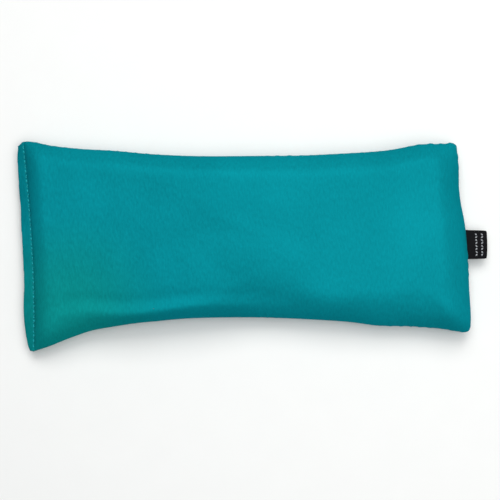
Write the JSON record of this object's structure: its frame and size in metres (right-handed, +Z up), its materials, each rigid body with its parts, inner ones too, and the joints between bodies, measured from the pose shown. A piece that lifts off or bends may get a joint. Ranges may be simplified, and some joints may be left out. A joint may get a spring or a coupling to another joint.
{
  "type": "eye pillow",
  "caption": "Seed-filled satin eye pillow with a topstitched closing hem and a folded woven label, lying flat; it bends across its middle.",
  "frame": {"origin": "middle of the pillow's box, on the surface that it lies on", "axes": "+X along the pillow to the label end, +Y across it, +Z up"},
  "size_m": [0.2441, 0.108, 0.027],
  "materials": {
    "teal_satin": "satin",
    "topstitch_thread": "satin",
    "seam_thread": "satin",
    "flax_seed": "satin",
    "black_label_tape": "satin",
    "grey_weft": "satin"
  },
  "bodies": {
    "closing_half": {"top_panel_closing_half": "teal_satin", "bottom_panel_closing_half": "teal_satin", "seed_filling_closing_half": "flax_seed", "seam_needle_thread_closing_half": "seam_thread", "seam_bobbin_thread_closing_half": "seam_thread", "closing_needle_thread": "topstitch_thread", "closing_bobbin_thread": "topstitch_thread"},
    "label_half": {"top_panel_label_half": "teal_satin", "bottom_panel_label_half": "teal_satin", "seed_filling_label_half": "flax_seed", "seam_needle_thread_label_half": "seam_thread", "seam_bobbin_thread_label_half": "seam_thread", "label_tails": "black_label_tape"},
    "label_tab": {"label_fold": "black_label_tape", "label_motif_threads": "grey_weft"}
  },
  "joints": [
    {"name": "middle_fold", "type": "hinge", "parent": "closing_half", "child": "label_half", "pos_m": [0, 0, 0.0085], "axis": [0, -1, 0], "range_deg": [0, 60]},
    {"name": "label_flex", "type": "hinge", "parent": "label_half", "child": "label_tab", "pos_m": [0.11234, 0.0011, 0.0085], "axis": [0.0579, -0.9983, 0], "range_deg": [-35, 90], "stiffness_Nm_per_rad": 0.0001}
  ]
}
